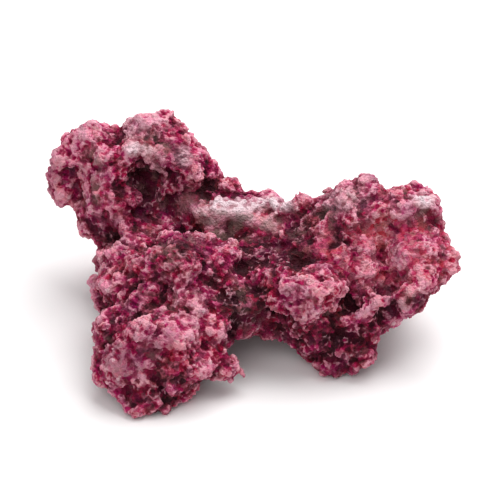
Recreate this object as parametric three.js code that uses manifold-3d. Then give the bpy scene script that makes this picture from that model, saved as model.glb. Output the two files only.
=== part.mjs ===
// A piece of dry reef rock, as used to build a reef tank: one porous, knobbly stone with a hollowed
// head, an arm that reaches forward, and a heavy lobe to the right. Millimetres, +Z up, +X to the right
// and +Y away from the front. The rock stands on worn feet at z = 0.
// Its mass is a field in space: lobes run together, lumps and nodules stand out of them, and hollows
// and pits cut in. The skin is laid where the field is zero, and the ground wears it flat underneath.
import * as THREE from 'three';
import { ImprovedNoise } from 'three/addons/math/ImprovedNoise.js';
import { mergeVertices } from 'three/addons/utils/BufferGeometryUtils.js';
import Module from 'manifold-3d';

// The size of one facet of the skin, how finely the field's slope is felt at a corner, and the share
// of a facet by which a corner may move to meet the field.
const FACET = 5.1;
const SETTLE = { probe: 0.5, most: 0.35 };

// The skin's forms: how wide each kind is, and how far its crowns stand above its creases.
const SWELL = { width: 34, rise: 7 };
const LUMP = { width: 22, rise: 13 };
const NODULE = { width: 12, rise: 6.5 };
// Where the skin lies between the creases and the crowns, which leaves the limbs their size.
const MIDDLE_LEVEL = 0.68;
// Lumps are wider than they are high, which gives the rock its ledges.
const LEDGE_STRETCH = 1.3;

// Pits in the skin: how far apart they may be, the share of those places that has one, and its size.
const PIT = { spacing: 20, share: 0.45, radius: 9, depth: 9 };

// How softly lobes run together, and how softly a hollow's rim is rounded.
const BLEND = 7;
const RIM = 3;

// What is worn off flat where the rock stands.
const WEAR = 1.6;

// The mass of the rock, limb by limb: the centre of each lobe and its three radii, across, deep and high.
const LOBES = [
  // The middle, which bridges from limb to limb clear of the ground.
  { at: [-30, 60, 42], radii: [45, 27, 21] },
  { at: [12, 62, 42], radii: [25, 22, 18] },
  { at: [2, 80, 36], radii: [32, 22, 20] },
  { at: [4, 49, 27], radii: [21, 15, 12] },

  // The belly, which hangs between the feet just clear of the ground.
  { at: [-20, 86, 23], radii: [42, 24, 15] },
  { at: [26, 72, 23], radii: [28, 22, 15] },
  { at: [-50, 64, 24], radii: [22, 26, 16] },

  // Far left: the round head, its crown in two, its cheeks, jaw and foot.
  { at: [-60, 122, 66], radii: [38, 25, 26] },
  { at: [-84, 129, 81], radii: [13, 12, 13] },
  { at: [-46, 128, 82], radii: [15, 12, 11] },
  { at: [-95, 117, 61], radii: [10, 13, 13] },
  { at: [-28, 116, 67], radii: [13, 13, 16] },
  { at: [-75, 105, 47], radii: [14, 14, 15] },
  { at: [-54, 92, 38], radii: [25, 20, 20] },
  { at: [-56, 118, 22], radii: [22, 19, 26] },

  // The saddle from the head to the great lobe, and the lumps behind it.
  { at: [-12, 98, 45], radii: [32, 17, 15] },
  { at: [-14, 108, 60], radii: [12, 10, 11] },
  { at: [0, 104, 57], radii: [12, 8, 8] },

  // Near left: the shoulder, and the arm that reaches forward and rests on its toe.
  { at: [-69, 58, 36], radii: [11, 12, 11] },
  { at: [-70, 32, 30], radii: [10, 9, 9] },
  { at: [-41, 28, 28], radii: [36, 22, 19] },
  { at: [-40, 12, 17], radii: [28, 14, 15] },
  { at: [-46, 9, 9], radii: [18, 11, 10] },
  { at: [-67, 15, 18], radii: [9, 8, 8] },

  // Right: the great lobe, with a ridge behind, a rim at the side, a shelf in front and two feet.
  { at: [56, 74, 46], radii: [38, 31, 24] },
  { at: [39, 88, 65], radii: [17, 12, 13] },
  { at: [55, 91, 70], radii: [15, 13, 12] },
  { at: [83, 84, 65], radii: [16, 13, 14] },
  { at: [92, 62, 53], radii: [11, 15, 12] },
  { at: [82, 45, 45], radii: [12, 12, 9] },
  { at: [33, 41, 48], radii: [23, 16, 13] },
  { at: [67, 38, 47], radii: [12, 11, 9] },
  { at: [45, 45, 26], radii: [29, 18, 17] },
  { at: [47, 34, 12], radii: [19, 12, 14] },
  { at: [58, 90, 22], radii: [25, 19, 26] },
];

// Thin forms that keep their own shape: the bare shelf on the saddle, and the spur on the arm.
const SHELF = { at: [-9, 93, 60], radii: [23, 10, 5] };
const SPUR = { at: [-9, 18, 14], radii: [12, 6.5, 6] };

// What is missing from the mass: the hollow in the head, the trough across the great lobe, and clefts.
const HOLLOWS = [
  { at: [-68, 125, 97], radii: [5, 18, 9] },
  { at: [-53, 95, 76], radii: [12, 13, 12] },
  { at: [-51, 105, 67], radii: [9, 12, 9] },
  { at: [24, 60, 72], radii: [24, 9, 14] },
  { at: [12, 62, 62], radii: [12, 9, 10] },
  { at: [-4, 78, 56], radii: [18, 6, 6] },
  { at: [53, 22, 52], radii: [4, 14, 14] },
  { at: [44, 18, 36], radii: [14, 11, 5] },
  { at: [-86, 46, 34], radii: [12, 4, 9] },
];

const noise = new ImprovedNoise();
const wasm = await Module();
wasm.setup();

// A repeatable number from 0 to 1 for one cell of space.
function chance([i, j, k], salt) {
  const wave = Math.sin(i * 127.1 + j * 311.7 + k * 74.7 + salt * 53.9) * 43758.5453;
  return wave - Math.floor(wave);
}

// Every cell of a grid from one corner to the other.
function* cellsOf(from, to) {
  for (let k = from[2]; k < to[2]; k++) {
    for (let j = from[1]; j < to[1]; j++) {
      for (let i = from[0]; i < to[0]; i++) {
        yield [i, j, k];
      }
    }
  }
}

// How far a point is, in cells, from one scattered centre of each of the 27 cells round it.
function* centresNear(point) {
  const home = point.map(Math.floor);
  for (const cell of cellsOf(home.map((n) => n - 1), home.map((n) => n + 2))) {
    const [x, y, z] = cell.map((n, axis) => n + chance(cell, axis + 1) - point[axis]);
    yield { cell, distance: Math.hypot(x, y, z) };
  }
}

// Rounded bumps packed side by side: 1 on a bump's crown, falling to 0 in the creases between bumps.
function bumps([x, y, z], width) {
  let nearest = 1;
  for (const { distance } of centresNear([x / width, y / width, (z * LEDGE_STRETCH) / width])) {
    nearest = Math.min(nearest, distance);
  }
  return 1 - nearest * nearest;
}

// Round pits here and there: 1 at a pit's centre, falling to 0 at its rim.
function pits(point) {
  let deepest = 0;
  for (const { cell, distance } of centresNear(point.map((n) => n / PIT.spacing))) {
    const inward = 1 - (distance * PIT.spacing) / PIT.radius;
    if (chance(cell, 4) < PIT.share) deepest = Math.max(deepest, inward);
  }
  return deepest * deepest * (3 - 2 * deepest);
}

// How far the skin stands out at a point of the rock.
function relief(point) {
  const swell = noise.noise(...point.map((n) => n / SWELL.width)) * SWELL.rise;
  const lump = (bumps(point, LUMP.width) - MIDDLE_LEVEL) * LUMP.rise;
  const nodule = (bumps(point, NODULE.width) - MIDDLE_LEVEL) * NODULE.rise;
  return swell + lump + nodule - pits(point) * PIT.depth;
}

// Roughly how far a point is outside a pressed sphere, and less than 0 inside it.
function outside({ at, radii }, point) {
  const scaled = point.map((n, axis) => (n - at[axis]) / radii[axis]);
  const share = Math.hypot(...scaled);
  const slope = Math.hypot(...scaled.map((n, axis) => n / radii[axis]));
  return slope > 0 ? (share * (share - 1)) / slope : -Math.min(...radii);
}

// The smaller of two distances, rounded off over a width where they are close.
function blend(a, b, width) {
  const share = Math.max(width - Math.abs(a - b), 0) / width;
  return Math.min(a, b) - (share * share * width) / 4;
}

// The field: less than 0 in the stone and more than 0 in the air.
function field(point) {
  const mass = LOBES.reduce((near, lobe) => blend(near, outside(lobe, point), BLEND), 1e3);
  if (Math.abs(mass) > 3 * LUMP.rise) return mass;
  const rough = blend(mass - relief(point), outside(SPUR, point), RIM);
  const cut = HOLLOWS.reduce((near, hollow) => -blend(-near, outside(hollow, point), RIM), rough);
  return blend(cut, outside(SHELF, point), RIM);
}

// The field on a cubic grid that takes in every lobe.
function sampleField() {
  const box = new THREE.Box3();
  for (const { at, radii } of LOBES) {
    const centre = new THREE.Vector3(...at);
    const reach = new THREE.Vector3(...radii).addScalar(LUMP.rise + FACET);
    box.expandByPoint(centre.clone().sub(reach)).expandByPoint(centre.clone().add(reach));
  }
  const low = box.min.toArray();
  const count = box.getSize(new THREE.Vector3()).divideScalar(FACET).ceil().toArray();
  const place = (cell) => cell.map((n, axis) => low[axis] + n * FACET);
  const values = [...cellsOf([0, 0, 0], count)].map((cell) => field(place(cell)));
  return { values, count, low, steps: [1, count[0], count[0] * count[1]] };
}

// Stone that meets stone only along an edge or at a point would give a skin that touches itself.
// There, the air sample nearest to the stone becomes stone, until no such place is left.
function mendTouches({ values, count, steps: [x, y, z] }) {
  const squares = [[x, y], [y, z], [x, z]];
  const inner = count.map((n) => n - 1);
  const fill = (samples) => {
    const air = samples.filter((n) => values[n] >= 0);
    const nearest = air.reduce((a, b) => (values[a] < values[b] ? a : b));
    values[nearest] = -FACET / 5;
  };
  let mended = true;
  while (mended) {
    mended = false;
    for (const [i, j, k] of cellsOf([0, 0, 0], inner)) {
      const home = i * x + j * y + k * z;
      for (const [u, v] of squares) {
        const ring = [home, home + u, home + u + v, home + v];
        const [a, b, c, d] = ring.map((n) => values[n] < 0);
        if (a === c && b === d && a !== b) {
          fill(ring);
          mended = true;
        }
      }
      const cube = [0, x, y, x + y, z, x + z, y + z, x + y + z].map((step) => home + step);
      for (let corner = 0; corner < 4; corner++) {
        const side = values[cube[corner]] < 0;
        const alike = cube.filter((n) => values[n] < 0 === side);
        if (alike.length === 2 && alike[0] === cube[corner] && alike[1] === cube[7 - corner]) {
          fill(cube);
          mended = true;
        }
      }
    }
  }
}

// Where the skin crosses one cell: the middle of its crossings of the cell's twelve edges.
function crossing(values, home, steps) {
  const middle = new THREE.Vector3();
  let count = 0;
  for (const [a, b, c] of cellsOf([0, 0, 0], [2, 2, 2])) {
    const start = [a, b, c];
    const from = values[home + a * steps[0] + b * steps[1] + c * steps[2]];
    for (let axis = 0; axis < 3; axis++) {
      if (start[axis] === 1) continue;
      const to = values[home + a * steps[0] + b * steps[1] + c * steps[2] + steps[axis]];
      if (from < 0 === to < 0) continue;
      const point = new THREE.Vector3(...start);
      middle.add(point.setComponent(axis, from / (from - to)));
      count++;
    }
  }
  return count ? middle.divideScalar(count) : null;
}

// A corner of the skin moved along the field's slope towards where the field is zero.
function settle(corner) {
  const here = field(corner.toArray());
  const slope = new THREE.Vector3();
  for (let axis = 0; axis < 3; axis++) {
    const beside = corner.clone().setComponent(axis, corner.getComponent(axis) + SETTLE.probe);
    slope.setComponent(axis, (field(beside.toArray()) - here) / SETTLE.probe);
  }
  const move = slope.multiplyScalar(-here / Math.max(slope.lengthSq(), 0.5));
  return corner.add(move.clampLength(0, SETTLE.most * FACET));
}

// The skin: one corner in each cell that the surface crosses, and one square between the four cells
// round each edge of the grid that runs from stone to air.
function skinGeometry() {
  const grid = sampleField();
  mendTouches(grid);
  const { values, count, low, steps } = grid;
  const corners = [];
  const cornerOf = new Map();
  for (const cell of cellsOf([0, 0, 0], count.map((n) => n - 1))) {
    const home = cell.reduce((sum, n, axis) => sum + n * steps[axis], 0);
    const at = crossing(values, home, steps);
    if (!at) continue;
    cornerOf.set(home, corners.length);
    const place = at.add(new THREE.Vector3(...cell)).multiplyScalar(FACET).add(new THREE.Vector3(...low));
    corners.push(settle(place));
  }
  const faces = [];
  for (const home of cornerOf.keys()) {
    for (let axis = 0; axis < 3; axis++) {
      const inStone = values[home] < 0;
      if (inStone === values[home + steps[axis]] < 0) continue;
      const [u, v] = [steps[(axis + 1) % 3], steps[(axis + 2) % 3]];
      const ring = [home, home - u, home - u - v, home - v].map((n) => cornerOf.get(n));
      const [a, b, c, d] = inStone ? ring : ring.reverse();
      const shortFirst = corners[a].distanceTo(corners[c]) < corners[b].distanceTo(corners[d]);
      faces.push(...(shortFirst ? [a, b, c, a, c, d] : [a, b, d, b, c, d]));
    }
  }
  return new THREE.BufferGeometry().setFromPoints(corners).setIndex(faces);
}

// A closed three.js geometry as a solid that can be cut.
function solidFrom(geometry) {
  geometry.deleteAttribute('normal');
  geometry.deleteAttribute('uv');
  const { attributes, index } = mergeVertices(geometry);
  return new wasm.Manifold(new wasm.Mesh({
    numProp: 3,
    vertProperties: attributes.position.array,
    triVerts: new Uint32Array(index.array),
  }));
}

// The whole stone, worn flat underneath. A pocket closed in the stone comes away as a piece turned
// inside out, and a crumb as a small one, so the largest piece is the rock.
function stone() {
  const ground = new THREE.BoxGeometry(600, 600, 100).translate(0, 0, WEAR - 50);
  const pieces = solidFrom(skinGeometry()).subtract(solidFrom(ground)).decompose();
  return pieces.reduce((best, piece) => (piece.volume() > best.volume() ? piece : best));
}

// The stone's mesh, with its origin at the middle of the box's underside.
function stoneGeometry() {
  const { vertProperties, triVerts } = stone().getMesh();
  const geometry = new THREE.BufferGeometry();
  geometry.setAttribute('position', new THREE.BufferAttribute(vertProperties, 3));
  geometry.setIndex(new THREE.BufferAttribute(triVerts, 1));
  geometry.computeBoundingBox();
  const { min, max } = geometry.boundingBox;
  geometry.translate(-(min.x + max.x) / 2, -(min.y + max.y) / 2, -min.z);
  geometry.computeVertexNormals();
  return geometry;
}

const crust = new THREE.MeshStandardMaterial({ color: 0x9a4f66, roughness: 0.85, metalness: 0 });
const rock = new THREE.Mesh(stoneGeometry(), crust);
rock.name = 'reef_rock';

const part = new THREE.Group();
part.add(rock);
export default part;
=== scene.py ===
"""A piece of dry reef rock: a porous, knobbly stone with a pink and maroon crust.

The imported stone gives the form. A core is made from it, weathered, and grown over with nodules, worm
tubes and grains, which are fused into one skin. Lengths are in metres, with +Z up, +X to the right
and +Y away from the front, and the stone stands on its worn feet at z = 0.
"""

import logging
import math
from abc import ABC, abstractmethod
from collections.abc import Iterable, Iterator
from dataclasses import dataclass
from enum import Enum
from types import SimpleNamespace
from typing import Any, ClassVar

import bmesh
import bpy
import numpy as np
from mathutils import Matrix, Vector


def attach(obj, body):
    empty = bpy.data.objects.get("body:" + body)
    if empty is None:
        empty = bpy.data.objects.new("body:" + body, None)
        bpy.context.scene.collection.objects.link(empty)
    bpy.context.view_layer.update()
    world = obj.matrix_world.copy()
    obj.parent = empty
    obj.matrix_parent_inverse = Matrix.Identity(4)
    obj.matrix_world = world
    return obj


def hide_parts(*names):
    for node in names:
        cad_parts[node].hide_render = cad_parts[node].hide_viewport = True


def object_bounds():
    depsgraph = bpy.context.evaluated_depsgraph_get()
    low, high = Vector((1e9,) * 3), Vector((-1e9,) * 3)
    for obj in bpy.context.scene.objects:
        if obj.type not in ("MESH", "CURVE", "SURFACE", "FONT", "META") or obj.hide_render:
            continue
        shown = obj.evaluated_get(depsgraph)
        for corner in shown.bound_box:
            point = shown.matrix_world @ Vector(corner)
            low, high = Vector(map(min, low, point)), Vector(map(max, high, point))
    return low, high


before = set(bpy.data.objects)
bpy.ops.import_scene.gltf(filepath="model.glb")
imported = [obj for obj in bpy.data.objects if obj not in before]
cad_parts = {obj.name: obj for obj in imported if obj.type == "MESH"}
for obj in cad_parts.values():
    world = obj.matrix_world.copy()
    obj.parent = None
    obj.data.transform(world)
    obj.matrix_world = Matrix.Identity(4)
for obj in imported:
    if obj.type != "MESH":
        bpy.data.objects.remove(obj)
CAD_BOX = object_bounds()

MM = 0.001
NODE = "reef_rock"
PIECE = "reef_rock_crust"

# Attributes: where the stone is worn, so that little grows there, and how far it faces upwards, which the
# finish turns into painted light on the tops and painted shade underneath.
WORN = "WORN"
FACING = "FACING"

# A node's socket, and what may feed an input: an output, a node whose first output is meant, or a value.
Socket = bpy.types.NodeSocket
Feed = Any

log = logging.getLogger("reef_rock")


def pigment(code: str) -> tuple[float, float, float, float]:
    """Turns a colour as it is seen on a screen into one that light is reckoned with.

    Args:
        code: Six hexadecimal digits: red, green and blue.

    Returns:
        Linear red, green and blue, and an alpha of 1.
    """
    seen = [int(code[start:start + 2], 16) / 255 for start in (0, 2, 4)]
    red, green, blue = [n / 12.92 if n <= 0.04045 else ((n + 0.055) / 1.055) ** 2.4 for n in seen]
    return red, green, blue, 1.0


class Graph:
    """A node tree that is being built, for a shape or for a finish, and the point that it works on."""

    def __init__(self, tree: bpy.types.NodeTree, source: str, output: str) -> None:
        """Starts on a tree, with the node type that gives the point and the name of its output."""
        self.tree = tree
        self.place = self.add(source, {}).outputs[output]

    def feed(self, socket: Socket, value: Feed) -> None:
        """Links an input to an output, or sets the input's own value.

        Args:
            socket: The input.
            value: An output, a node whose first output is meant, or a plain value.
        """
        if isinstance(value, bpy.types.Node):
            value = value.outputs[0]
        if isinstance(value, Socket):
            self.tree.links.new(value, socket)
        else:
            socket.default_value = value

    def add(self, kind: str, inputs: dict[str | int, Feed], **settings: Any) -> bpy.types.Node:
        """Adds a node.

        Args:
            kind: The node's type.
            inputs: What feeds each input, by the input's name or number.
            **settings: The node's own options.

        Returns:
            The node.
        """
        node = self.tree.nodes.new(kind)
        for name, value in settings.items():
            setattr(node, name, value)
        for key, value in inputs.items():
            self.feed(node.inputs[key], value)
        return node

    def math(self, operation: str, *values: Feed) -> Socket:
        """Works out one number from others, by one of the Math node's operations."""
        return self.add("ShaderNodeMath", dict(enumerate(values)), operation=operation).outputs[0]

    def times(self, value: Feed, *factors: Feed) -> Socket:
        """Multiplies a number.

        Args:
            value: The number.
            *factors: What it is multiplied by, one after the other.

        Returns:
            The product.
        """
        for factor in factors:
            value = self.math("MULTIPLY", value, factor)
        return value

    def about_zero(self, value: Feed) -> Socket:
        """Turns a number about 0.5, such as a noise, into one about 0."""
        return self.math("SUBTRACT", value, 0.5)

    def vector(self, operation: str, *values: Feed) -> Socket:
        """Works out one vector from others, by one of the Vector Math node's operations."""
        return self.add("ShaderNodeVectorMath", dict(enumerate(values)), operation=operation).outputs[0]

    def scaled(self, vector: Feed, amount: Feed) -> Socket:
        """Makes a vector longer or shorter by an amount that multiplies it."""
        node = self.add("ShaderNodeVectorMath", {"Vector": vector, "Scale": amount}, operation="SCALE")
        return node.outputs[0]

    def span(self, value: Feed, low: Feed, high: Feed, start: Feed = 0.0, end: Feed = 1.0) -> Socket:
        """Maps a number softly from the span low to high to the span start to end, held at its ends."""
        inputs = {0: value, 1: low, 2: high, 3: start, 4: end}
        return self.add("ShaderNodeMapRange", inputs, interpolation_type="SMOOTHSTEP").outputs[0]

    def per(self, width: Feed) -> Feed:
        """Turns the width of a pattern into the pattern's scale.

        Args:
            width: The width, as an output or in metres.

        Returns:
            How many widths there are in a metre, as an output or a number.
        """
        if isinstance(width, Socket):
            return self.math("DIVIDE", 1.0, width)
        return 1 / width

    def noise(self, place: Feed, width: Feed, detail: float = 2.0) -> Socket:
        """Makes cloudy noise, mostly 0.3 to 0.7, from its clouds' width and how many finer layers it has."""
        inputs = {"Vector": place, "Scale": self.per(width), "Detail": detail}
        return self.add("ShaderNodeTexNoise", inputs).outputs[0]

    def drift(self, place: Feed, width: Feed, most: Feed) -> Socket:
        """Makes a vector that wanders from place to place.

        Args:
            place: The point at which it is read.
            width: How wide its swings are.
            most: Its length where it is longest, roughly.

        Returns:
            The vector.
        """
        inputs = {"Vector": place, "Scale": self.per(width), "Detail": 2.0}
        cloud = self.add("ShaderNodeTexNoise", inputs)
        return self.scaled(self.vector("SUBTRACT", cloud.outputs["Color"], (0.5, 0.5, 0.5)), most)

    def cells(self, place: Feed, width: Feed) -> bpy.types.Node:
        """Makes cells a width apart: the node gives each one's colour, and the distance in widths."""
        return self.add("ShaderNodeTexVoronoi", {"Vector": place, "Scale": self.per(width)})

    def blend(self, share: Feed, first: Feed, second: Feed) -> Socket:
        """Mixes two colours by the share of the second."""
        return self.add("ShaderNodeMix", {0: share, 6: first, 7: second}, data_type="RGBA").outputs[2]


@dataclass(frozen=True)
class Blotches:
    """Soft blotches, where a noise is high."""

    width: float
    detail: float
    start: float
    full: float
    least: float = 0.0
    most: float = 1.0

    def show(self, graph: Graph) -> Socket:
        """Works out how strongly they show: the least between the blotches, the most inside them."""
        noise = graph.noise(graph.place, self.width, self.detail)
        return graph.span(noise, self.start, self.full, self.least, self.most)


@dataclass(frozen=True)
class Form:
    """A form that repeats over the stone, whose sizes are named inputs of the tree that makes it."""

    name: str

    def sizes(self) -> dict[str, float]:
        """Lists the form's sizes, which are its fields that hold a float."""
        return {key: value for key, value in vars(self).items() if isinstance(value, float)}

    def label(self, key: str) -> str:
        """Names the tree's input for a size."""
        return f"{self.name} {key}".replace("_", " ")

    def read(self, shaper: "Shaper") -> SimpleNamespace:
        """Finds the tree's inputs for the form's sizes."""
        return SimpleNamespace(**{key: shaper.inputs[self.label(key)] for key in self.sizes()})


class Shaper(Graph):
    """A Geometry Nodes tree with named inputs, and the modifier that runs it on an object."""

    def __init__(self, name: str, forms: Iterable[Form]) -> None:
        """Starts a tree with a geometry input, an input for each size, and a geometry output.

        Args:
            name: The tree's name.
            forms: The forms whose sizes are its inputs.
        """
        tree = bpy.data.node_groups.new(name, "GeometryNodeTree")
        super().__init__(tree, "GeometryNodeInputPosition", "Position")
        face = tree.interface
        face.new_socket("Geometry", in_out="INPUT", socket_type="NodeSocketGeometry")
        face.new_socket("Geometry", in_out="OUTPUT", socket_type="NodeSocketGeometry")
        self.values = {}
        for form in forms:
            for key, value in form.sizes().items():
                socket = face.new_socket(form.label(key), in_out="INPUT", socket_type="NodeSocketFloat")
                self.values[socket.identifier] = value
        self.inputs = tree.nodes.new("NodeGroupInput").outputs

    def unworn(self, least: Feed) -> Socket:
        """Finds how much is left to stand out: 1 where nothing is worn, and the least where all is."""
        worn = self.add("GeometryNodeInputNamedAttribute", {"Name": WORN}, data_type="FLOAT")
        return self.span(worn, 0.0, 1.0, 1.0, least)

    def raise_skin(self, rise: Feed, material: bpy.types.Material) -> None:
        """Ends the tree with its geometry's skin moved outwards.

        Args:
            rise: How far each point moves.
            material: The material set on the result.
        """
        normal = self.add("GeometryNodeInputNormal", {})
        moved = self.add("GeometryNodeSetPosition", {
            "Geometry": self.inputs["Geometry"], "Offset": self.scaled(normal, rise),
        })
        self.close(moved, material)

    def close(self, geometry: Feed, material: bpy.types.Material) -> None:
        """Ends the tree in plain mesh that carries a material.

        Args:
            geometry: The finished geometry.
            material: The material set on it.
        """
        plain = self.add("GeometryNodeRealizeInstances", {"Geometry": geometry})
        dressed = self.add("GeometryNodeSetMaterial", {"Geometry": plain, "Material": material})
        self.add("NodeGroupOutput", {0: dressed})

    def run(self, piece: bpy.types.Object) -> None:
        """Runs the tree on an object and keeps the result as its mesh.

        Args:
            piece: The object.
        """
        modifier = piece.modifiers.new(self.tree.name, "NODES")
        modifier.node_group = self.tree
        for identifier, value in self.values.items():
            modifier[identifier] = value
        settle(piece)


def settle(piece: bpy.types.Object) -> None:
    """Makes an object's modified shape its plain mesh, and removes its modifiers.

    Args:
        piece: The object.
    """
    graph = bpy.context.evaluated_depsgraph_get()
    mesh = bpy.data.meshes.new_from_object(piece.evaluated_get(graph), depsgraph=graph)
    piece.modifiers.clear()
    old = piece.data
    piece.data = mesh
    bpy.data.meshes.remove(old)


def modify(piece: bpy.types.Object, kind: str, **settings: Any) -> None:
    """Runs one modifier on an object and keeps the result.

    Args:
        piece: The object.
        kind: The modifier's type.
        **settings: The modifier's options.
    """
    modifier = piece.modifiers.new(kind.title(), kind)
    for name, value in settings.items():
        setattr(modifier, name, value)
    settle(piece)


@dataclass(frozen=True)
class Skin:
    """The vertices, edges and triangles of a mesh as arrays, with what can be measured on them."""

    # The least length that is divided by.
    tiny: ClassVar[float] = 1e-12

    points: np.ndarray
    edges: np.ndarray
    triangles: np.ndarray

    @classmethod
    def of(cls, mesh: bpy.types.Mesh) -> "Skin":
        """Reads a mesh.

        Args:
            mesh: The mesh.

        Returns:
            Its skin.
        """
        mesh.calc_loop_triangles()
        points = np.empty(len(mesh.vertices) * 3)
        edges = np.empty(len(mesh.edges) * 2, int)
        triangles = np.empty(len(mesh.loop_triangles) * 3, int)
        mesh.vertices.foreach_get("co", points)
        mesh.edges.foreach_get("vertices", edges)
        mesh.loop_triangles.foreach_get("vertices", triangles)
        return cls(points.reshape(-1, 3), edges.reshape(-1, 2), triangles.reshape(-1, 3))

    def smoothed(self, rounds: int) -> "Skin":
        """Moves each point to the middle of itself and its neighbours, again and again.

        Args:
            rounds: How many times.

        Returns:
            The smoothed skin.
        """
        first, second = self.edges.T
        count = len(self.points)
        share = 1 / (np.bincount(self.edges.ravel(), minlength=count) + 1)
        points = self.points.copy()
        for _ in range(rounds):
            for axis in range(3):
                value = points[:, axis]
                total = value + np.bincount(first, value[second], count)
                total += np.bincount(second, value[first], count)
                points[:, axis] = total * share
        return Skin(points, self.edges, self.triangles)

    def normals(self) -> np.ndarray:
        """Finds the direction in which the skin faces at each point.

        Returns:
            One unit vector for each point.
        """
        corners = self.points[self.triangles]
        faces = np.cross(corners[:, 1] - corners[:, 0], corners[:, 2] - corners[:, 0])
        total = np.zeros_like(self.points)
        for corner in range(3):
            for axis in range(3):
                at = self.triangles[:, corner]
                total[:, axis] += np.bincount(at, faces[:, axis], len(self.points))
        return total / np.maximum(np.linalg.norm(total, axis=1, keepdims=True), self.tiny)

    def height_above(self, smooth: "Skin") -> np.ndarray:
        """Measures how far each point stands out of a smoothed skin, less than 0 in creases."""
        return np.sum((self.points - smooth.points) * smooth.normals(), axis=1)


@dataclass(frozen=True)
class Spot:
    """A rounded place on the stone, whose middle and radii are in millimetres."""

    # How steeply a spot fades towards its rim, from two fifths of its radii outwards.
    steepness: ClassVar[float] = 1.7

    at: tuple[float, float, float]
    radii: tuple[float, float, float]

    def share(self, points: np.ndarray) -> np.ndarray:
        """Finds how much of the spot each point has: 1 in its middle and 0 past its rim."""
        away = (points / MM - np.array(self.at)) / np.array(self.radii)
        return np.clip(self.steepness * (1 - np.linalg.norm(away, axis=1)), 0, 1)


@dataclass(frozen=True)
class Shift(Spot):
    """A place where the core is pressed in or swells, its middle by the millimetres given."""

    by: tuple[float, float, float]


@dataclass(frozen=True)
class Core:
    """The stone under the crust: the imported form, rounded off and drawn in to leave room."""

    weld: float = 0.001 * MM
    grain: float = 1.7 * MM
    smoothing: int = 9
    drawn_in: float = 2.5 * MM
    shifts: tuple[Shift, ...] = (
        # The head: its right brow, a notch in its crown, its hollow's floor, a knob that parts the
        # hollow, and its low left tip.
        Shift((-30, 46, 84), (12, 26, 14), (2, 0, 1)),
        Shift((-70, 50, 91), (10, 24, 14), (0, 0, -5)),
        Shift((-50, 37, 65), (13, 12, 13), (0, -5, 2)),
        Shift((-60, 35, 60), (8, 12, 9), (1, -7, 3)),
        Shift((-105, 54, 45), (8, 8, 8), (3, 0, 5)),
        # The left side: pressed in under the head and above a knob, the knob fuller, the narrow gap
        # below it deeper, and the toe fuller.
        Shift((-86, 22, 43), (10, 10, 6), (3.5, 0, 1)),
        Shift((-78, 10, 43), (18, 20, 18), (8, 0, 0)),
        Shift((-82, -14, 28), (14, 13, 9), (-4.5, 0, 0)),
        Shift((-81, -22, 26), (14, 9, 5), (6, 0, 0)),
        Shift((-76, -62, 12), (16, 16, 11), (-3.5, 0, 0)),
        # The spur beside the toe, the edge over the bay, and the two sides of the great foot.
        Shift((-12, -52, 10), (15, 14, 10), (2.5, 0, 0)),
        Shift((2, -36, 18), (13, 18, 14), (0, 1.5, 3)),
        Shift((27, -38, 8), (10, 16, 12), (-2.5, 0, 0)),
        Shift((60, -44, 13), (14, 18, 16), (2.5, 0, 0)),
        # The saddle: its back edge lower.
        Shift((-14, 36, 66), (18, 12, 10), (0, 0, -3.5)),
        # The great lobe: a deeper trough, a crest that is higher where it starts and midway and lower
        # between, its top right, its right edge, and its low right side.
        Shift((20, -20, 57), (15, 13, 10), (0, 2, -4)),
        Shift((31, 18, 66), (12, 16, 12), (0, 0, 2.5)),
        Shift((40, 27, 72), (9, 10, 9), (0, -1, -6)),
        Shift((53, 22, 77), (17, 16, 11), (0, 0, 4.5)),
        Shift((86, 12, 82), (14, 14, 10), (0, 0, -3.5)),
        Shift((98, 4, 60), (14, 18, 14), (1.5, 0, 0)),
        Shift((93, -34, 46), (18, 20, 18), (-3.5, 2, 1)),
        Shift((83, -43, 41), (9, 10, 8), (-3, 2.5, 2.5)),
    )

    def build(self, stone: bpy.types.Object) -> bpy.types.Object:
        """Makes the core's object.

        Args:
            stone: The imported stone.

        Returns:
            The core, at the origin.
        """
        form = bmesh.new()
        form.from_mesh(stone.data)
        bmesh.ops.remove_doubles(form, verts=form.verts, dist=self.weld)
        mesh = bpy.data.meshes.new(PIECE)
        form.to_mesh(mesh)
        form.free()
        piece = bpy.data.objects.new(PIECE, mesh)
        bpy.context.scene.collection.objects.link(piece)
        modify(piece, "REMESH", mode="VOXEL", voxel_size=self.grain)
        skin = Skin.of(piece.data).smoothed(self.smoothing)
        shifted = sum(np.outer(shift.share(skin.points), shift.by) for shift in self.shifts) * MM
        drawn = skin.points - skin.normals() * self.drawn_in + shifted
        piece.data.vertices.foreach_set("co", drawn.ravel())
        piece.data.update()
        return piece


@dataclass(frozen=True, kw_only=True)
class Knobs(Form):
    """Rounded knobs between creases, which stray from their rows.

    A knob's crown and its fall towards the crease are given in rises.
    """

    width: float
    rise: float
    crown: float
    fall: float
    stray_width: float
    stray: float

    def strayed(self, shaper: Shaper) -> Socket:
        """Moves the point that a pattern is read at, so that the pattern wanders.

        Args:
            shaper: The tree.

        Returns:
            The moved point.
        """
        size = self.read(shaper)
        aside = shaper.drift(shaper.place, size.stray_width, size.stray)
        return shaper.vector("ADD", shaper.place, aside)

    def height(self, shaper: Shaper, place: Socket) -> Socket:
        """Works out how high the knobs stand at a point.

        Args:
            shaper: The tree.
            place: The point.

        Returns:
            The height, less than 0 in the creases.
        """
        size = self.read(shaper)
        away = shaper.cells(place, size.width).outputs["Distance"]
        fall = shaper.times(shaper.math("POWER", away, 2.0), size.fall)
        return shaper.times(shaper.math("SUBTRACT", size.crown, fall), size.rise)


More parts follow.
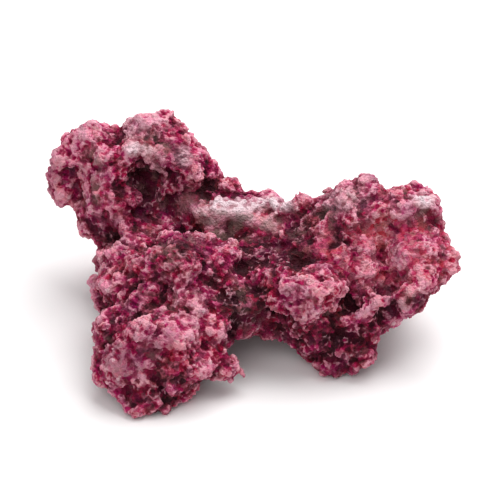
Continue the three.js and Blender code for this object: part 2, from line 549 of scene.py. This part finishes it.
@dataclass(frozen=True, kw_only=True)
class Pores(Form):
    """Holes bored into the stone, all of one size, in a share of the cells that it is divided into."""

    spacing: float
    radius: float
    depth: float
    share: float

    def sink(self, shaper: Shaper, place: Socket) -> Socket:
        """Works out how deep the pores are at a point.

        Args:
            shaper: The tree.
            place: The point.

        Returns:
            The depth.
        """
        size = self.read(shaper)
        cell = shaper.cells(place, size.spacing)
        away = shaper.times(cell.outputs["Distance"], size.spacing)
        inside = shaper.span(away, 0.0, size.radius, 1.0, 0.0)
        chosen = shaper.math("LESS_THAN", cell.outputs["Color"], size.share)
        return shaper.times(inside, chosen, size.depth)


@dataclass(frozen=True)
class Weathering:
    """What time has done to the core: knobs between creases, and pores bored into it."""

    knobs: Knobs = Knobs(
        "Knob", width=11.0 * MM, rise=5.2 * MM, crown=0.4, fall=1.2, stray_width=17.0 * MM, stray=7.0 * MM,
    )
    pores: tuple[Pores, ...] = (
        Pores("Hole", spacing=16.0 * MM, radius=5.6 * MM, depth=4.6 * MM, share=0.4),
        Pores("Pore", spacing=8.0 * MM, radius=2.3 * MM, depth=2.6 * MM, share=0.45),
    )
    left_on_worn: float = 0.2

    def run(self, core: bpy.types.Object, material: bpy.types.Material) -> None:
        """Moves the core's skin.

        Args:
            core: The core.
            material: The material that it keeps.
        """
        shaper = Shaper("Weathering", [self.knobs, *self.pores])
        place = self.knobs.strayed(shaper)
        rise = self.knobs.height(shaper, place)
        for pores in self.pores:
            rise = shaper.math("SUBTRACT", rise, pores.sink(shaper, place))
        shaper.raise_skin(shaper.times(rise, shaper.unworn(self.left_on_worn)), material)
        shaper.run(core)


class Draw(Enum):
    """What is drawn at random for each small form, and the number that it adds to the seed."""

    TURN = 1
    SCALE = 2


@dataclass(frozen=True, kw_only=True)
class Outgrowth(Form, ABC):
    """One kind of small form scattered over the core, thickly in patches and thinly between them."""

    # Its sizes: the two scales between which it varies, and how far it is sunk, in radii.
    radius: float
    spacing: float
    smallest: float
    largest: float
    sunk: float

    # How thickly it grows: how many to a square of the spacing, and the share of them that is left
    # between its patches and where the stone is worn.
    patch_width: float
    patch_edge: tuple[float, float] = (0.38, 0.54)
    density: float = 1.6
    left_between: float = 0.2
    left_on_worn: float = 0.05
    seed: int

    def scatter(self, shaper: Shaper, ground: Socket) -> Socket:
        """Scatters the form over the core.

        Args:
            shaper: The tree.
            ground: The core's geometry.

        Returns:
            The scattered forms.
        """
        size = self.read(shaper)
        cloud = shaper.noise(shaper.place, size.patch_width, detail=1.0)
        crowding = shaper.span(cloud, *self.patch_edge, size.left_between, 1.0)
        spots = shaper.add("GeometryNodeDistributePointsOnFaces", {
            "Mesh": ground,
            "Distance Min": size.spacing,
            "Density Max": shaper.math("DIVIDE", size.density, shaper.times(size.spacing, size.spacing)),
            "Density Factor": shaper.times(crowding, shaper.unworn(size.left_on_worn)),
            "Seed": self.seed,
        }, distribute_method="POISSON")
        down = shaper.scaled(spots.outputs["Normal"], shaper.times(size.sunk, size.radius, -1.0))
        return shaper.add("GeometryNodeInstanceOnPoints", {
            "Points": shaper.add("GeometryNodeSetPosition", {"Geometry": spots, "Offset": down}),
            "Instance": self.shape(shaper),
            "Rotation": self.turn(shaper, spots),
            "Scale": self.draw(shaper, Draw.SCALE, size.smallest, size.largest),
        }).outputs[0]

    def draw(self, shaper: Shaper, what: Draw, low: Feed, high: Feed) -> Socket:
        """Draws a vector from low to high for each form."""
        inputs = {0: low, 1: high, "Seed": self.seed + what.value}
        return shaper.add("FunctionNodeRandomValue", inputs, data_type="FLOAT_VECTOR").outputs[0]

    @abstractmethod
    def shape(self, shaper: Shaper) -> Socket:
        """Makes the form that is repeated, about its own middle."""

    @abstractmethod
    def turn(self, shaper: Shaper, spots: bpy.types.Node) -> Socket:
        """Finds how each form is turned at its spot."""


@dataclass(frozen=True, kw_only=True)
class Lump(Outgrowth):
    """A rounded, uneven lump, turned any way, whose dents are given in radii."""

    subdivisions: int
    dent_width: float = 1.2
    dents: float = 1.3

    def shape(self, shaper: Shaper) -> Socket:
        """Makes the lump, about its own middle.

        Args:
            shaper: The tree.

        Returns:
            The lump's geometry.
        """
        size = self.read(shaper)
        ball = shaper.add("GeometryNodeMeshIcoSphere", {
            "Radius": size.radius, "Subdivisions": self.subdivisions,
        })
        width = shaper.times(size.radius, size.dent_width)
        aside = shaper.drift(shaper.place, width, shaper.times(size.radius, size.dents))
        return shaper.add("GeometryNodeSetPosition", {"Geometry": ball, "Offset": aside}).outputs[0]

    def turn(self, shaper: Shaper, spots: bpy.types.Node) -> Socket:
        """Turns each lump any way."""
        return self.draw(shaper, Draw.TURN, (0.0, 0.0, 0.0), (math.tau, math.tau, math.tau))


@dataclass(frozen=True, kw_only=True)
class Tube(Outgrowth):
    """A bent worm tube that lies along the skin, whose bend is given in radii."""

    bend: float = 3.6
    sweep: float = math.radians(100)
    tilt: float = 0.35
    arc_points: int = 7
    ring_points: int = 6

    def shape(self, shaper: Shaper) -> Socket:
        """Makes the tube, about its own middle.

        Args:
            shaper: The tree.

        Returns:
            The tube's geometry.
        """
        size = self.read(shaper)
        bend = shaper.times(size.radius, size.bend)
        arc = shaper.add("GeometryNodeCurveArc", {
            "Resolution": self.arc_points,
            "Radius": bend,
            "Start Angle": shaper.times(size.sweep, -0.5),
            "Sweep Angle": size.sweep,
        })
        back = shaper.scaled((-1.0, 0.0, 0.0), bend)
        return shaper.add("GeometryNodeCurveToMesh", {
            "Curve": shaper.add("GeometryNodeSetPosition", {"Geometry": arc, "Offset": back}),
            "Profile Curve": shaper.add("GeometryNodeCurvePrimitiveCircle", {
                "Resolution": self.ring_points, "Radius": size.radius,
            }),
            "Fill Caps": True,
        }).outputs[0]

    def turn(self, shaper: Shaper, spots: bpy.types.Node) -> Socket:
        """Lays each tube along the skin, tilted a little and turned any way.

        Args:
            shaper: The tree.
            spots: The node that scatters the spots.

        Returns:
            How each tube is turned.
        """
        tilt = self.read(shaper).tilt
        most = shaper.add("ShaderNodeCombineXYZ", {"X": tilt, "Y": tilt, "Z": math.tau})
        return shaper.add("FunctionNodeRotateRotation", {
            "Rotation": spots.outputs["Rotation"],
            "Rotate By": self.draw(shaper, Draw.TURN, (0.0, 0.0, 0.0), most),
        }, rotation_space="LOCAL").outputs[0]


@dataclass(frozen=True, kw_only=True)
class Roughness(Form):
    """Thin, winding wrinkles in the crust, and coarse grit packed side by side."""

    wrinkle_width: float = 4.4 * MM
    wrinkle_rise: float = 0.8 * MM
    wrinkle_edge: float = 0.1
    wrinkle_level: float = 0.4
    grit_width: float = 1.9 * MM
    grit_rise: float = 0.6 * MM
    grit_level: float = 0.5
    left_on_worn: float = 0.45

    def height(self, shaper: Shaper) -> Socket:
        """Works out how high the wrinkles and the grit stand.

        Args:
            shaper: The tree.

        Returns:
            The height, less than 0 between them.
        """
        size = self.read(shaper)
        cloud = shaper.about_zero(shaper.noise(shaper.place, size.wrinkle_width, detail=1.0))
        ridge = shaper.span(shaper.math("ABSOLUTE", cloud), 0.0, size.wrinkle_edge, 1.0, 0.0)
        wrinkle = shaper.times(shaper.math("SUBTRACT", ridge, size.wrinkle_level), size.wrinkle_rise)
        away = shaper.cells(shaper.place, size.grit_width).outputs["Distance"]
        grit = shaper.times(shaper.math("SUBTRACT", size.grit_level, away), size.grit_rise)
        return shaper.times(shaper.math("ADD", wrinkle, grit), shaper.unworn(size.left_on_worn))


@dataclass(frozen=True)
class Crust:
    """The skin that has grown over the core: many small forms, fused and gritty."""

    outgrowths: tuple[Outgrowth, ...] = (
        Lump(
            "Nodule", radius=3.2 * MM, spacing=5.6 * MM, smallest=0.5, largest=1.3,
            sunk=0.35, patch_width=30 * MM, seed=11, subdivisions=2,
        ),
        Tube(
            "Tube", radius=1.0 * MM, spacing=3.6 * MM, smallest=0.7, largest=1.3,
            sunk=0.0, patch_width=20 * MM, seed=23,
        ),
        Lump(
            "Grain", radius=1.3 * MM, spacing=2.7 * MM, smallest=0.55, largest=1.25,
            sunk=0.1, patch_width=14 * MM, seed=37, subdivisions=1,
        ),
    )
    voxel: float = 0.85 * MM
    most_triangles: int = 197_000
    tip_smoothing: int = 12
    tip_rise: float = 0.9 * MM
    roughness: Roughness = Roughness("Crust")

    def grow(self, core: bpy.types.Object, material: bpy.types.Material) -> None:
        """Scatters the small forms over the core.

        Args:
            core: The core, which becomes the joined mesh.
            material: The material of them all.
        """
        shaper = Shaper("Outgrowths", self.outgrowths)
        ground = shaper.inputs["Geometry"]
        joined = shaper.add("GeometryNodeJoinGeometry", {})
        for part in [ground, *(kind.scatter(shaper, ground) for kind in self.outgrowths)]:
            shaper.feed(joined.inputs[0], part)
        shaper.close(joined, material)
        shaper.run(core)

    def fuse(self, piece: bpy.types.Object) -> None:
        """Makes one skin of the joined forms.

        Args:
            piece: The joined mesh's object.
        """
        modify(piece, "REMESH", mode="VOXEL", voxel_size=self.voxel)
        keep_largest(piece.data)
        modify(piece, "SMOOTH", factor=0.5, iterations=1)
        self.wear_tips(piece.data)

    def wear_tips(self, mesh: bpy.types.Mesh) -> None:
        """Blunts what stands out thin and sharp.

        Args:
            mesh: The skin's mesh.
        """
        skin = Skin.of(mesh)
        smooth = skin.smoothed(self.tip_smoothing)
        away = skin.points - smooth.points
        length = np.linalg.norm(away, axis=1, keepdims=True)
        kept = self.tip_rise / np.maximum(length, self.tip_rise)
        mesh.vertices.foreach_set("co", (smooth.points + away * kept).ravel())
        mesh.update()

    def roughen(self, piece: bpy.types.Object, material: bpy.types.Material) -> None:
        """Raises wrinkles and grit on the skin.

        Args:
            piece: The skin's object.
            material: The material that it keeps.
        """
        shaper = Shaper("Roughness", [self.roughness])
        shaper.raise_skin(self.roughness.height(shaper), material)
        shaper.run(piece)
        self.wear_tips(piece.data)

    def thin(self, piece: bpy.types.Object) -> None:
        """Spends the triangles where the skin bends most.

        Args:
            piece: The skin's object.
        """
        count = len(Skin.of(piece.data).triangles)
        if count > self.most_triangles:
            modify(piece, "DECIMATE", ratio=self.most_triangles / count, use_collapse_triangulate=True)


def bodies(form: bmesh.types.BMesh) -> Iterator[list[bmesh.types.BMVert]]:
    """Finds the separate bodies of a mesh.

    Args:
        form: The mesh.

    Yields:
        The vertices of each body.
    """
    unseen = set(form.verts)
    while unseen:
        front = [unseen.pop()]
        body = []
        while front:
            vertex = front.pop()
            body.append(vertex)
            for edge in vertex.link_edges:
                other = edge.other_vert(vertex)
                if other in unseen:
                    unseen.remove(other)
                    front.append(other)
        yield body


def keep_largest(mesh: bpy.types.Mesh) -> None:
    """Removes every body of a mesh but the largest.

    Args:
        mesh: The mesh.
    """
    form = bmesh.new()
    form.from_mesh(mesh)
    _, *crumbs = sorted(bodies(form), key=len, reverse=True)
    bmesh.ops.delete(form, geom=[vertex for crumb in crumbs for vertex in crumb])
    form.to_mesh(mesh)
    form.free()


def wear_flat(mesh: bpy.types.Mesh) -> None:
    """Cuts a mesh off flat at z = 0 and closes the cut.

    Args:
        mesh: The mesh.
    """
    form = bmesh.new()
    form.from_mesh(mesh)
    everything = [*form.verts, *form.edges, *form.faces]
    cut = bmesh.ops.bisect_plane(
        form, geom=everything, plane_co=(0, 0, 0), plane_no=(0, 0, -1), clear_outer=True,
    )
    rim = [part for part in cut["geom_cut"] if isinstance(part, bmesh.types.BMEdge)]
    soles = bmesh.ops.holes_fill(form, edges=rim, sides=0)["faces"]
    bmesh.ops.triangulate(form, faces=soles)
    form.to_mesh(mesh)
    form.free()


class Relief(Enum):
    """The relief that the finish tells apart, each with the smoothing rounds that take it away."""

    CROWN = 8
    KNOB = 45
    LIMB = 220


class Tint(Enum):
    """The ways in which patches of the crust depart from its own colour, some of them partly painted light
    and shade.
    """

    BARE = "grey-brown stone"
    # White powder, partly a painted highlight on the tops.
    CHALK = "white powder"
    CORAL = "coral red"
    # Paler crust, partly painted light on lit tops.
    BLUSH = "paler crust"
    # Darker crust, partly painted shade in hollows, troughs and under overhangs.
    WINE = "darker crust"


@dataclass(frozen=True)
class Patch(Spot):
    """A place where the crust is tinted, and perhaps worn smooth."""

    tint: Tint
    strength: float = 1.0
    wear: float = 0.0


class Paint(Graph):
    """A material that is being built from the piece's Object coordinates and its own attributes."""

    def __init__(self, name: str) -> None:
        """Starts an empty material.

        Args:
            name: The material's name.
        """
        self.material = bpy.data.materials.new(name)
        self.material.use_nodes = True
        self.material.node_tree.nodes.clear()
        super().__init__(self.material.node_tree, "ShaderNodeTexCoord", "Object")

    def read(self, name: str) -> Socket:
        """Reads one of the piece's attributes."""
        return self.add("ShaderNodeAttribute", {}, attribute_name=name).outputs["Fac"]


@dataclass(frozen=True)
class CrustFinish:
    """The crust's colours: maroon in the creases and rose and pink on the crowns, partly painted shade and
    painted light, and dusty at the tips.
    """

    # The colour at each lightness, and what lightens or darkens the crust, much of it painted light and
    # shade.
    levels: tuple[tuple[float, str], ...] = (
        (0.08, "340010"),
        (0.30, "5a0822"),
        (0.52, "821d3b"),
        (0.74, "ae4060"),
        (0.95, "de8fa1"),
    )
    middle: float = 0.45
    shares: tuple[tuple[str, float], ...] = (
        # Painted shade in the creases and painted light on the crowns, at three sizes of relief.
        (Relief.CROWN.name, 0.27),
        (Relief.KNOB.name, 0.22),
        (Relief.LIMB.name, 0.12),
        # Painted light on the tops and painted shade underneath.
        (FACING, 0.10),
        # Paler patches, partly painted light, and darker ones, partly painted shade.
        (Tint.BLUSH.name, 0.14),
        (Tint.WINE.name, -0.26),
    )
    cloud_width: float = 15 * MM
    cloud_share: float = 0.9
    grains: tuple[tuple[float, float], ...] = ((2.4 * MM, 0.30), (1.1 * MM, 0.20))

    # The other pigments, and the blotches in which they show.
    magenta: str = "720c38"
    coral: str = "c05266"
    taupe: str = "80645f"
    chalk: str = "e2c9d0"
    margin: str = "e0a0b0"
    dust: str = "ecc8d0"
    purpling: Blotches = Blotches(19 * MM, 3.0, 0.48, 0.64, most=0.5)
    mottle: Blotches = Blotches(7 * MM, 4.0, 0.38, 0.60, most=0.6)
    bare_spots: Blotches = Blotches(21 * MM, 4.0, 0.60, 0.68, most=0.5)
    stain: Blotches = Blotches(8 * MM, 5.0, 0.40, 0.58, most=0.8)

    # Each plate's own hue and richness.
    plate_width: float = 2.9 * MM
    hues: tuple[float, float] = (0.492, 0.506)
    richness: tuple[float, float] = (0.86, 1.1)
    hue_drift_width: float = 12 * MM
    hue_drift: float = 0.04

    # The powder, partly a painted highlight, which the creases keep less of.
    rubbed_crowns: tuple[float, float] = (-0.5, 0.3)
    least_rubbed: float = 0.35

    # The pale margins between plates, and the dust on the tips.
    margin_width: float = 4.5 * MM
    margin_wander_width: float = 5 * MM
    margin_wander: float = 4 * MM
    margin_edge: tuple[float, float] = (0.03, 0.14)
    margin_crowns: tuple[float, float] = (-0.2, 0.3)
    broken: Blotches = Blotches(9 * MM, 2.0, 0.45, 0.60, most=0.5)
    fleck_width: float = 1.9 * MM
    fleck_share: float = 0.1
    fleck_strength: float = 0.55
    dusty_crowns: tuple[float, float] = (0.0, 0.8)

    # The fine grain of the surface.
    sheen: float = 0.2
    roughness: Blotches = Blotches(4 * MM, 3.0, 0.35, 0.65, least=0.70, most=0.95)
    speck_width: float = 1.3 * MM
    sand_width: float = 1.0 * MM
    sand_height: float = 0.9 * MM

    def material(self) -> bpy.types.Material:
        """Makes the material.

        Returns:
            The material, which reads the piece's own attributes and Object coordinates.
        """
        paint = Paint("Coralline crust")
        speck = paint.cells(paint.place, self.speck_width).outputs["Distance"]
        sand = paint.noise(paint.place, self.sand_width, detail=3.0)
        bump = paint.add("ShaderNodeBump", {
            "Height": paint.math("SUBTRACT", sand, speck), "Strength": 1.0, "Distance": self.sand_height,
        })
        shader = paint.add("ShaderNodeBsdfPrincipled", {
            "Base Color": self.colour(paint),
            "Roughness": self.roughness.show(paint),
            "Normal": bump,
            "Specular IOR Level": self.sheen,
        })
        paint.add("ShaderNodeOutputMaterial", {"Surface": shader})
        return paint.material

    def colour(self, paint: Paint) -> Socket:
        """Builds the crust's colour.

        Args:
            paint: The material that is being built.

        Returns:
            The colour.
        """
        colour = self.varied(paint, self.pigmented(paint))
        bare = paint.math("MAXIMUM", paint.read(Tint.BARE.name), self.bare_spots.show(paint))
        stained = paint.times(bare, self.stain.show(paint))
        colour = paint.blend(stained, colour, pigment(self.taupe))
        colour = paint.blend(self.margins(paint), colour, pigment(self.margin))
        crown = paint.read(Relief.CROWN.name)
        rubbed = paint.span(crown, *self.rubbed_crowns, self.least_rubbed, 1.0)
        # White powder and painted highlight, fuller on the crowns than in the creases.
        powder_and_highlight = paint.times(paint.read(Tint.CHALK.name), rubbed)
        colour = paint.blend(powder_and_highlight, colour, pigment(self.chalk))
        chance = paint.cells(paint.place, self.fleck_width).outputs["Color"]
        fleck = paint.math("GREATER_THAN", chance, 1 - self.fleck_share)
        dusty = paint.times(fleck, paint.span(crown, *self.dusty_crowns, 0.0, self.fleck_strength))
        return paint.blend(dusty, colour, pigment(self.dust))

    def pigmented(self, paint: Paint) -> Socket:
        """Finds the pink or maroon of each lightness, turned to magenta or coral in places.

        Args:
            paint: The material that is being built.

        Returns:
            The colour.
        """
        ramp = paint.add("ShaderNodeValToRGB", {0: self.level(paint)})
        elements = ramp.color_ramp.elements
        elements.remove(elements[1])
        elements[0].position = self.levels[0][0]
        for position, _ in self.levels[1:]:
            elements.new(position)
        for element, (_, code) in zip(elements, self.levels):
            element.color = pigment(code)
        colour = paint.blend(self.purpling.show(paint), ramp.outputs[0], pigment(self.magenta))
        warm = paint.times(paint.read(Tint.CORAL.name), self.mottle.show(paint))
        return paint.blend(warm, colour, pigment(self.coral))

    def level(self, paint: Paint) -> Socket:
        """Works out how light the crust is: its relief and facing, as painted shade and painted light, and
        its own clouds and grains.

        Args:
            paint: The material that is being built.

        Returns:
            The lightness, about 0.5.
        """
        level = self.middle
        for name, share in self.shares:
            level = paint.math("MULTIPLY_ADD", paint.read(name), share, level)
        cloud = paint.about_zero(paint.noise(paint.place, self.cloud_width, detail=4.0))
        level = paint.math("MULTIPLY_ADD", cloud, self.cloud_share, level)
        for width, share in self.grains:
            grain = paint.about_zero(paint.cells(paint.place, width).outputs["Color"])
            level = paint.math("MULTIPLY_ADD", grain, share, level)
        return level

    def varied(self, paint: Paint, colour: Socket) -> Socket:
        """Gives each small plate of the crust a hue and richness of its own.

        Args:
            paint: The material that is being built.
            colour: The crust's colour.

        Returns:
            The varied colour.
        """
        plate = paint.cells(paint.place, self.plate_width).outputs["Color"]
        own = paint.add("ShaderNodeSeparateColor", {0: plate})
        drift = paint.about_zero(paint.noise(paint.place, self.hue_drift_width))
        hue = paint.span(own.outputs[1], 0.0, 1.0, *self.hues)
        return paint.add("ShaderNodeHueSaturation", {
            "Hue": paint.math("MULTIPLY_ADD", drift, self.hue_drift, hue),
            "Saturation": paint.span(own.outputs[2], 0.0, 1.0, *self.richness),
            "Color": colour,
        }).outputs[0]

    def margins(self, paint: Paint) -> Socket:
        """Finds the pale, curling margins where small plates of the crust meet.

        Args:
            paint: The material that is being built.

        Returns:
            How strongly they show.
        """
        aside = paint.drift(paint.place, self.margin_wander_width, self.margin_wander)
        edge = paint.add("ShaderNodeTexVoronoi", {
            "Vector": paint.vector("ADD", paint.place, aside), "Scale": paint.per(self.margin_width),
        }, feature="DISTANCE_TO_EDGE").outputs["Distance"]
        line = paint.span(edge, *self.margin_edge, 1.0, 0.0)
        raised = paint.span(paint.read(Relief.CROWN.name), *self.margin_crowns)
        return paint.times(line, self.broken.show(paint), raised)


@dataclass(frozen=True)
class ReefRock:
    """The whole rock: its core, what weathered it, its crust and the patches on it."""

    core: Core = Core()
    weathering: Weathering = Weathering()
    crust: Crust = Crust()
    finish: CrustFinish = CrustFinish()
    # How many standard deviations of the relief count as its full height.
    full_relief: float = 2.0
    patches: tuple[Patch, ...] = (
        # The ledge on the saddle: white along its top, powder and painted highlight, grey-brown down its
        # side, dark under it, partly painted shade, and pink at its right end, partly painted light.
        Patch((-2, 20, 63), (36, 10, 5), Tint.CHALK, 1.2, wear=1.0),
        Patch((-14, 13, 59), (32, 11, 8), Tint.CHALK, 0.25),
        Patch((-11, 12, 57), (36, 12, 12), Tint.BARE, 1.2, wear=1.0),
        Patch((-16, 8, 48), (20, 9, 6), Tint.WINE, 1.3),
        Patch((-30, 24, 60), (13, 13, 11), Tint.BARE, 0.7, wear=0.7),
        Patch((9, 11, 55), (15, 12, 8), Tint.BLUSH, 2.8),
        # The head: bare on its crown and cheek, pale round the hollow's rim and on the left, partly painted
        # light, and dark in the hollow and under the jaw, partly painted shade.
        Patch((-46, 36, 85), (13, 12, 9), Tint.BARE, 0.8),
        Patch((-50, 34, 85), (22, 12, 9), Tint.BLUSH, 1.2),
        Patch((-57, 34, 86), (9, 9, 6), Tint.CHALK, 0.8),
        Patch((-34, 37, 81), (7, 8, 7), Tint.CHALK, 0.4),
        Patch((-49, 50, 93), (26, 16, 12), Tint.BLUSH, 0.8),
        Patch((-60, 52, 90), (20, 14, 9), Tint.CHALK, 0.25),
        Patch((-33, 26, 60), (9, 12, 12), Tint.BLUSH, 0.9),
        Patch((-82, 36, 78), (9, 11, 9), Tint.BARE, 0.8),
        Patch((-79, 25, 65), (10, 11, 9), Tint.BARE, 0.8),
        Patch((-56, 31, 63), (19, 19, 18), Tint.WINE, 1.2),
        Patch((-92, 38, 67), (20, 22, 24), Tint.BLUSH, 2.0),
        Patch((-83, 24, 47), (9, 9, 8), Tint.WINE, 0.6),
        # The middle and the arm: bare spots between pink crowns, the arm paler, partly painted light, and
        # dark underneath, partly painted shade.
        Patch((-42, -27, 63), (11, 9, 8), Tint.BARE, 0.8),
        Patch((-37, -44, 47), (9, 9, 8), Tint.BARE, 0.6),
        Patch((-3, -39, 39), (9, 9, 9), Tint.BARE, 0.4),
        Patch((-4, -37, 38), (20, 16, 16), Tint.WINE, 1.7),
        Patch((-36, -20, 62), (26, 16, 12), Tint.WINE, 1.4),
        Patch((-30, -57, 38), (32, 24, 20), Tint.BLUSH, 2.0),
        Patch((-46, -54, 38), (11, 11, 9), Tint.WINE, 0.6),
        Patch((-33, -68, 24), (10, 14, 20), Tint.WINE, 0.9),
        Patch((-64, -60, 25), (16, 18, 16), Tint.BLUSH, 0.6),
        Patch((-57, -70, 25), (16, 14, 12), Tint.BLUSH, 2.0),
        Patch((-45, -78, 10), (30, 16, 14), Tint.WINE, 0.8),
        # The great lobe: a dark trough, a pink shelf, a coral rim, bare edges and a dark foot; the dark
        # trough and foot are partly painted shade, the pink shelf partly painted light.
        Patch((13, -6, 50), (30, 20, 20), Tint.WINE, 1.5),
        Patch((18, -15, 56), (20, 16, 11), Tint.WINE, 2.0),
        Patch((33, -43, 46), (28, 22, 20), Tint.BLUSH, 1.1),
        Patch((42, -12, 61), (22, 18, 13), Tint.CORAL, 1.2),
        Patch((74, -14, 56), (38, 28, 28), Tint.CORAL),
        Patch((70, -5, 63), (18, 16, 13), Tint.CORAL, 1.6),
        Patch((64, -16, 54), (26, 20, 20), Tint.BLUSH, 2.0),
        Patch((47, -15, 62), (12, 16, 13), Tint.WINE, 1.3),
        Patch((72, -4, 62), (16, 14, 13), Tint.BLUSH, 1.4),
        Patch((34, 2, 68), (12, 11, 9), Tint.BARE, 0.8),
        Patch((47, 5, 77), (10, 9, 8), Tint.BARE, 0.7),
        Patch((88, 7, 79), (14, 12, 9), Tint.BLUSH),
        Patch((89, 6, 77), (10, 9, 7), Tint.CHALK, 1.1),
        Patch((43, 8, 75), (22, 14, 9), Tint.CHALK, 0.25),
        Patch((89, 2, 69), (9, 9, 9), Tint.BARE, 0.8),
        Patch((81, -42, 45), (12, 10, 9), Tint.BARE, 0.8),
        Patch((44, -42, 18), (30, 22, 26), Tint.WINE),
    )

    def build(self, stone: bpy.types.Object) -> bpy.types.Object:
        """Builds the rock and dresses it.

        Args:
            stone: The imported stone, which the rock stands for.

        Returns:
            The rock's one piece.
        """
        material = self.finish.material()
        piece = self.core.build(stone)
        self.mark_worn(piece.data)
        log.info("core: %d faces", len(piece.data.polygons))
        self.weathering.run(piece, material)
        self.crust.grow(piece, material)
        log.info("outgrowths joined: %d faces", len(piece.data.polygons))
        self.crust.fuse(piece)
        self.mark_worn(piece.data)
        log.info("fused: %d faces", len(piece.data.polygons))
        self.crust.roughen(piece, material)
        self.crust.thin(piece)
        wear_flat(piece.data)
        self.mark(piece.data)
        piece.data.shade_smooth()
        return piece

    def mark_worn(self, mesh: bpy.types.Mesh) -> None:
        """Stores how smooth a mesh is worn at each of its points.

        Args:
            mesh: The mesh.
        """
        points = Skin.of(mesh).points
        worn = [patch.share(points) * patch.wear for patch in self.patches if patch.wear > 0]
        self.store(mesh, WORN, np.max(worn, axis=0))

    def mark(self, mesh: bpy.types.Mesh) -> None:
        """Stores what the finish reads: how far the skin stands out, and the patches.

        Args:
            mesh: The rock's mesh.
        """
        skin = Skin.of(mesh)
        smooth = skin
        done = 0
        for relief in Relief:
            smooth = smooth.smoothed(relief.value - done)
            done = relief.value
            height = skin.height_above(smooth)
            self.store(mesh, relief.name, np.clip(height / (self.full_relief * height.std()), -1, 1))
        # How far the skin faces upwards, which the finish turns into painted light on the tops and painted
        # shade underneath.
        self.store(mesh, FACING, smooth.normals()[:, 2])
        for tint in Tint:
            patches = [patch for patch in self.patches if patch.tint is tint]
            shares = [patch.share(skin.points) * patch.strength for patch in patches]
            self.store(mesh, tint.name, np.max(shares, axis=0))

    @staticmethod
    def store(mesh: bpy.types.Mesh, name: str, values: np.ndarray) -> None:
        """Stores one number for each vertex as a named attribute."""
        mesh.attributes.new(name, "FLOAT", "POINT").data.foreach_set("value", values)


@dataclass(frozen=True)
class Lamp:
    """A soft square lamp, aimed at the rock, in degrees, metres and watts."""

    name: str
    azimuth: float
    elevation: float
    away: float
    side: float
    power: float

    def place(self, target: Vector) -> None:
        """Hangs the lamp.

        Args:
            target: The point that it is aimed at.
        """
        light = bpy.data.lights.new(self.name, "AREA")
        light.size = self.side
        light.energy = self.power
        lamp = bpy.data.objects.new(self.name, light)
        back = direction(self.azimuth, self.elevation)
        lamp.location = target + back * self.away
        lamp.rotation_euler = back.to_track_quat("Z", "Y").to_euler()
        bpy.context.scene.collection.objects.link(lamp)


def direction(azimuth: float, elevation: float) -> Vector:
    """Points away from the rock, by degrees round from its front to its right, and degrees upwards."""
    turn, rise = math.radians(azimuth), math.radians(elevation)
    return Vector((math.sin(turn) * math.cos(rise), -math.cos(turn) * math.cos(rise), math.sin(rise)))


@dataclass(frozen=True)
class Studio:
    """A pale floor, soft lamps, and the camera at the photograph's viewing angle."""

    # The camera: degrees above the floor, metres from the rock, and millimetres of lens.
    elevation: float = 35.0
    distance: float = 1.53
    lens: float = 218.0
    nearest: float = 0.05

    # The floor, the sky and the lamps.
    floor_side: float = 6.0
    floor_colour: str = "f4f2f2"
    floor_roughness: float = 0.9
    sky: float = 0.42
    lamps: tuple[Lamp, ...] = (
        Lamp("Key", azimuth=140.0, elevation=64.0, away=1.3, side=1.3, power=24.0),
        Lamp("Fill", azimuth=-25.0, elevation=48.0, away=1.6, side=1.4, power=8.0),
    )

    def build(self, low: Vector, high: Vector) -> None:
        """Lays the floor, hangs the lamps and sets up the camera.

        Args:
            low: The lowest corner of the rock's box.
            high: The highest corner of the rock's box.
        """
        target = (low + high) / 2
        self.lay_floor()
        for lamp in self.lamps:
            lamp.place(target)
        world = bpy.data.worlds.new("Studio")
        world.use_nodes = True
        background = world.node_tree.nodes["Background"]
        background.inputs["Color"].default_value = (1.0, 1.0, 1.0, 1.0)
        background.inputs["Strength"].default_value = self.sky
        scene = bpy.context.scene
        scene.world = world
        scene.view_settings.view_transform = "Standard"
        self.set_camera(target)

    def lay_floor(self) -> None:
        """Lays the floor, which is no part of the rock."""
        form = bmesh.new()
        bmesh.ops.create_grid(form, x_segments=1, y_segments=1, size=self.floor_side / 2)
        mesh = bpy.data.meshes.new("floor")
        form.to_mesh(mesh)
        form.free()
        material = bpy.data.materials.new("Floor")
        material.use_nodes = True
        shader = material.node_tree.nodes["Principled BSDF"]
        shader.inputs["Base Color"].default_value = pigment(self.floor_colour)
        shader.inputs["Roughness"].default_value = self.floor_roughness
        mesh.materials.append(material)
        floor = bpy.data.objects.new("floor", mesh)
        bpy.context.scene.collection.objects.link(floor)

    def set_camera(self, target: Vector) -> None:
        """Sets up the camera.

        Args:
            target: The point that it is aimed at.
        """
        camera = bpy.data.objects.new("Camera", bpy.data.cameras.new("Camera"))
        camera.data.lens = self.lens
        camera.data.clip_start = self.nearest
        back = direction(0.0, self.elevation)
        camera.location = target + back * self.distance
        camera.rotation_euler = back.to_track_quat("Z", "Y").to_euler()
        bpy.context.scene.collection.objects.link(camera)
        bpy.context.scene.camera = camera


def main() -> None:
    """Builds the rock and the studio round it."""
    logging.basicConfig(level=logging.INFO, format="%(message)s")
    rock = ReefRock().build(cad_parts[NODE])
    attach(rock, "root")
    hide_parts(NODE)
    log.info("%s: %d triangles", rock.name, len(Skin.of(rock.data).triangles))
    Studio().build(*CAD_BOX)
    log.info("studio: floor, lamps and camera")


if __name__ == "__main__":
    main()
